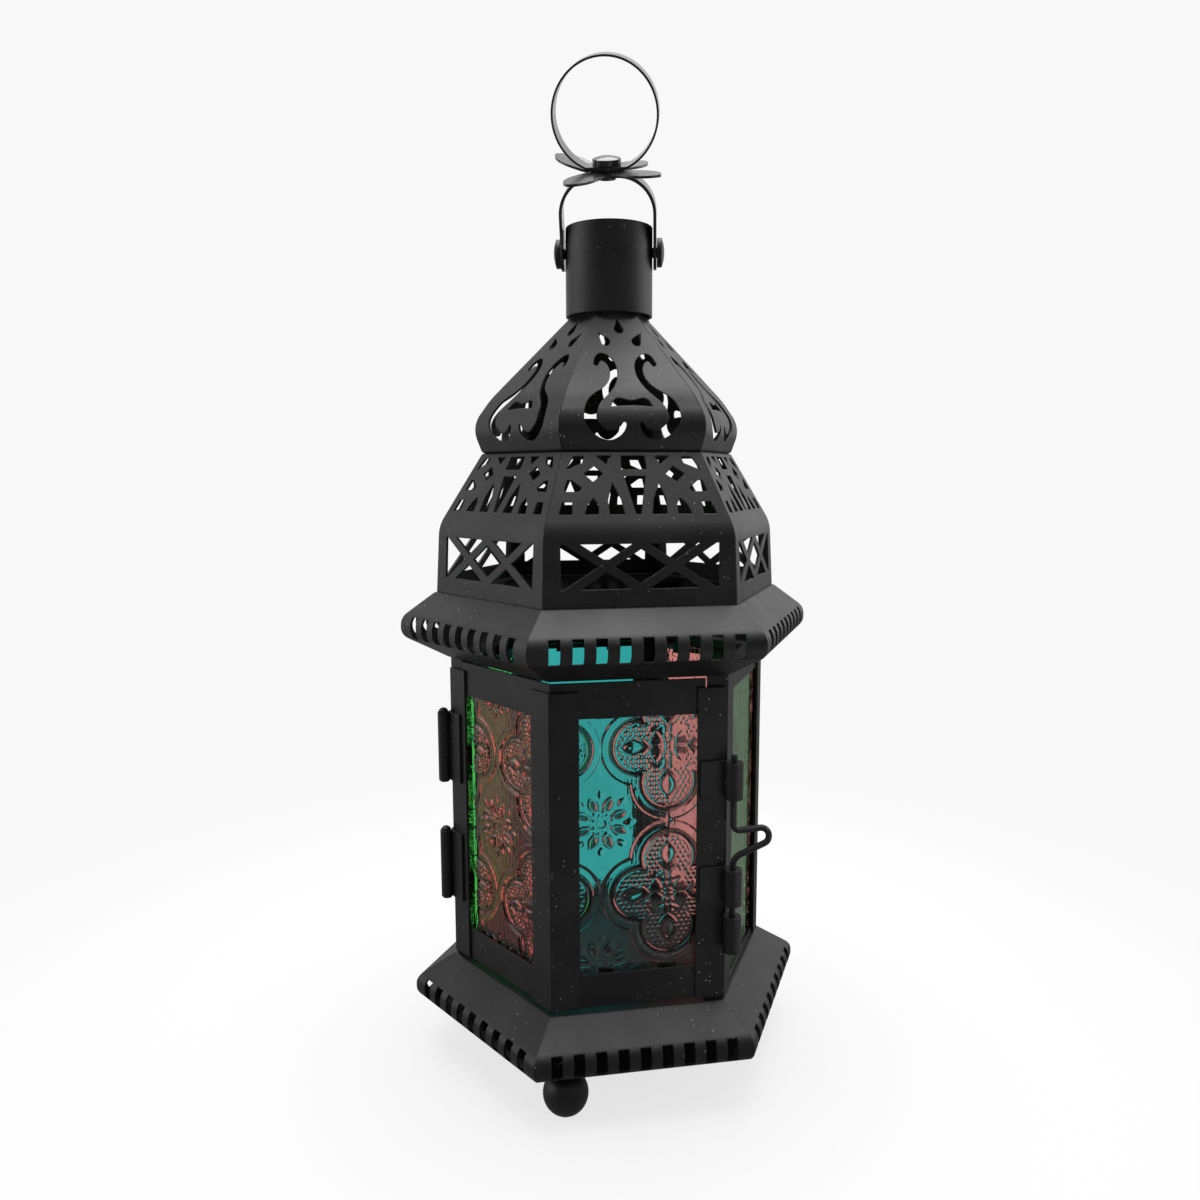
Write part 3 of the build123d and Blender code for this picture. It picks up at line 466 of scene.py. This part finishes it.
def black_paint(name, roughness, gloss):
    """Black paint: fine orange peel, slightly wavy sheet, softened edges and specks of dust."""
    material, tree, shader = new_material(name)
    place = place_on(tree)
    links = tree.links

    specks = add_node(tree, "ShaderNodeTexVoronoi", Scale=DUST_SCALE)
    links.new(place, specks.inputs["Vector"])
    chance = tree.nodes.new("ShaderNodeSeparateXYZ")
    links.new(specks.outputs["Color"], chance.inputs[0])
    dot = Field(tree, specks.outputs["Distance"]).step(*DUST_SIZE).flipped()
    chosen = Field(tree, chance.outputs["X"]).step(*DUST_CHANCE)
    patches = noise(tree, place, DUST_PATCH_SCALE).step(0.40, 0.65)
    dust = dot * chosen * patches * Field(tree, chance.outputs["Y"]) * 0.8
    haze = noise(tree, place, HAZE_SCALE, 4.0).step(0.35, 0.75) * HAZE
    links.new(colour_mix(tree, (dust + haze).socket, PAINT_BLACK, DUST_COLOUR), shader.inputs["Base Color"])

    rough = noise(tree, place, SHEEN_SCALE, 4.0) * 0.16 + roughness + dust * 0.4
    links.new(rough.socket, shader.inputs["Roughness"])
    shader.inputs["Specular IOR Level"].default_value = gloss

    soft_edge = tree.nodes.new("ShaderNodeBevel")
    soft_edge.samples = 4
    soft_edge.inputs["Radius"].default_value = SOFT_EDGE
    bump = add_node(tree, "ShaderNodeBump", Strength=0.35, Distance=BUMP_DEPTH)
    peel = noise(tree, place, PEEL_SCALE) * 0.25 + noise(tree, place, WAVE_SCALE, 3.0) * 2.5
    links.new(peel.socket, bump.inputs["Height"])
    links.new(soft_edge.outputs["Normal"], bump.inputs["Normal"])
    links.new(bump.outputs["Normal"], shader.inputs["Normal"])
    return material


def coloured_glass(name, colour):
    """Pressed glass: faint ripple and fine upright ribbing of the roller, and painted shade that darkens the
    recesses.
    """
    material, tree, shader = new_material(name)
    place = place_on(tree)
    shader.inputs["Transmission Weight"].default_value = 1.0
    shader.inputs["IOR"].default_value = GLASS_IOR
    tint = noise(tree, place, 55.0).step(0.2, 0.8)
    thin = (*(c * THIN_TINT for c in colour), 1)
    mixed = colour_mix(tree, tint.socket, thin, (*colour, 1))
    # The recess mark darkens the glass colour towards near-black: painted shade
    painted_recess_shade = tree.nodes.new("ShaderNodeAttribute")
    painted_recess_shade.attribute_name = "painted_recess_shade"
    soiled = colour_mix(tree, painted_recess_shade.outputs["Fac"], mixed, RECESS_SHADE_COLOUR)
    tree.links.new(soiled, shader.inputs["Base Color"])
    rough = noise(tree, place, 300.0) * 0.06 + 0.02
    tree.links.new(rough.socket, shader.inputs["Roughness"])
    bump = add_node(tree, "ShaderNodeBump", Strength=0.3, Distance=BUMP_DEPTH)
    stretched = tree.nodes.new("ShaderNodeMapping")
    stretched.inputs["Scale"].default_value = RIBBING_STRETCH
    tree.links.new(place, stretched.inputs["Vector"])
    ripple = noise(tree, place, RIPPLE_SCALE, 1.0) + noise(tree, stretched.outputs[0], RIBBING_SCALE, 1.0)
    tree.links.new(ripple.socket, bump.inputs["Height"])
    tree.links.new(bump.outputs["Normal"], shader.inputs["Normal"])
    return material


def ray_kind(tree, name):
    """1 for rays of the named kind, 0 for others."""
    return Field(tree, tree.nodes.new("ShaderNodeLightPath").outputs[name])


def axes_of(tree, output):
    """The three coordinates of a texture place as fields."""
    split = tree.nodes.new("ShaderNodeSeparateXYZ")
    tree.links.new(tree.nodes.new("ShaderNodeTexCoord").outputs[output], split.inputs[0])
    return [Field(tree, split.outputs[axis]) for axis in "XYZ"]


def studio():
    """Pale room, dark on the side of the camera and bright above, with soft lamps and a pale floor."""
    scene = bpy.context.scene
    scene.view_settings.view_transform = "Standard"
    world = bpy.data.worlds.new("studio")
    scene.world = world
    world.use_nodes = True
    tree = world.node_tree
    back = tree.nodes["Background"]
    back.inputs["Color"].default_value = (1, 1, 1, 1)
    x, y, z = axes_of(tree, "Generated")
    room = (y + z * ROOM_LIFT).step(*ROOM_BLEND) * (PALE - ROOM_DARK) + ROOM_DARK
    room = room * ((-x).step(*LEFT_BLEND) * -LEFT_DIM + 1.0)
    seen = ray_kind(tree, "Is Camera Ray")
    strength = seen * PALE + seen.flipped() * room
    tree.links.new(strength.socket, back.inputs["Strength"])

    for name, facts in LAMPS.items():
        soft_box(name, **facts)

    floor = bpy.data.objects.new("floor", bpy.data.meshes.new("floor"))
    signs = ((-1, -1), (1, -1), (1, 1), (-1, 1))
    corners = [(side * FLOOR_REACH, end * FLOOR_REACH, 0) for side, end in signs]
    floor.data.from_pydata(corners, [], [(0, 1, 2, 3)])
    scene.collection.objects.link(floor)
    floor.data.materials.append(pale_floor())


def pale_floor():
    """Floor that takes a faint shadow near the lantern and is one with the background farther off."""
    material, tree, shader = new_material("pale_floor")
    shader.inputs["Base Color"].default_value = (0.8, 0.8, 0.8, 1)
    shader.inputs["Roughness"].default_value = 0.9
    x, y = axes_of(tree, "Object")[:2]
    camera_ray = ray_kind(tree, "Is Camera Ray")
    through = ray_kind(tree, "Is Transmission Ray")
    behind = y.step(*BEHIND_BLEND)
    near_front = y.step(*NEAR_BLEND) * behind.flipped()
    mirrored = behind * (FLOOR_PALE - FLOOR_DARK) + FLOOR_DARK
    mirrored = mirrored.most(x.step(*RIGHT_PATCH) * near_front * FLOOR_RIGHT)
    mirrored = mirrored.most((-x).step(*LEFT_PATCH) * behind * FLOOR_LEFT)
    clear_view = behind * (PALE - FLOOR_DARK) + FLOOR_DARK
    seen = camera_ray.most(through)
    strength = camera_ray * PALE + through * clear_view + seen.flipped() * mirrored
    glow = tree.nodes.new("ShaderNodeEmission")
    tree.links.new(strength.socket, glow.inputs["Strength"])
    glowing = length(x, y).step(*SHADOW_REACH) * SHADOW + (1 - SHADOW)
    glowing = (seen * glowing).most(ray_kind(tree, "Is Glossy Ray"))
    mix = tree.nodes.new("ShaderNodeMixShader")
    tree.links.new(glowing.socket, mix.inputs["Fac"])
    tree.links.new(shader.outputs[0], mix.inputs[1])
    tree.links.new(glow.outputs[0], mix.inputs[2])
    tree.links.new(mix.outputs[0], tree.nodes["Material Output"].inputs["Surface"])
    return material


def soft_box(name, place, size, power):
    lamp = bpy.data.lights.new(name, "AREA")
    lamp.shape = "SQUARE"
    lamp.size = size
    lamp.energy = power
    holder = bpy.data.objects.new(name, lamp)
    holder.location = place
    holder.rotation_mode = "QUATERNION"
    holder.rotation_quaternion = (Vector(LAMP_TARGET) - Vector(place)).to_track_quat("-Z", "Y")
    bpy.context.scene.collection.objects.link(holder)


def camera():
    lens = bpy.data.cameras.new("camera")
    lens.lens = CAMERA_LENS
    lens.sensor_width = CAMERA_SENSOR
    lens.clip_start = CAMERA_NEAR
    viewer = bpy.data.objects.new("camera", lens)
    look = Vector(CAMERA_LOOK).normalized()
    aim = look.to_track_quat("-Z", "Y").to_matrix().to_4x4()
    roll = Matrix.Rotation(math.radians(CAMERA_ROLL), 4, "Z")
    viewer.matrix_world = Matrix.Translation(CAMERA_AT) @ aim @ roll
    bpy.context.scene.collection.objects.link(viewer)
    bpy.context.scene.camera = viewer


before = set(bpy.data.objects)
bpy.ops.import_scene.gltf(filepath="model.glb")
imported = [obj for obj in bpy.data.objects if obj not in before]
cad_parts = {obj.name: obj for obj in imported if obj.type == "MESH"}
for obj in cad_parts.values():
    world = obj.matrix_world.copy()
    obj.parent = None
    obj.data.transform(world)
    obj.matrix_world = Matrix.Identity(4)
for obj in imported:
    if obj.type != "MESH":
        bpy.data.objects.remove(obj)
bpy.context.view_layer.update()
camera()
studio()

satin = black_paint("satin_black", **SATIN)
polished = black_paint("polished_black", **POLISH)
for name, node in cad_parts.items():
    if not name.startswith("pane_"):
        for slot in node.material_slots:
            slot.material = polished if name in POLISHED_NODES else satin

pane_tree = embossed_glass_tree()
for face, facts in FACES.items():
    glaze(face, facts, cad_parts["pane_" + face], pane_tree)
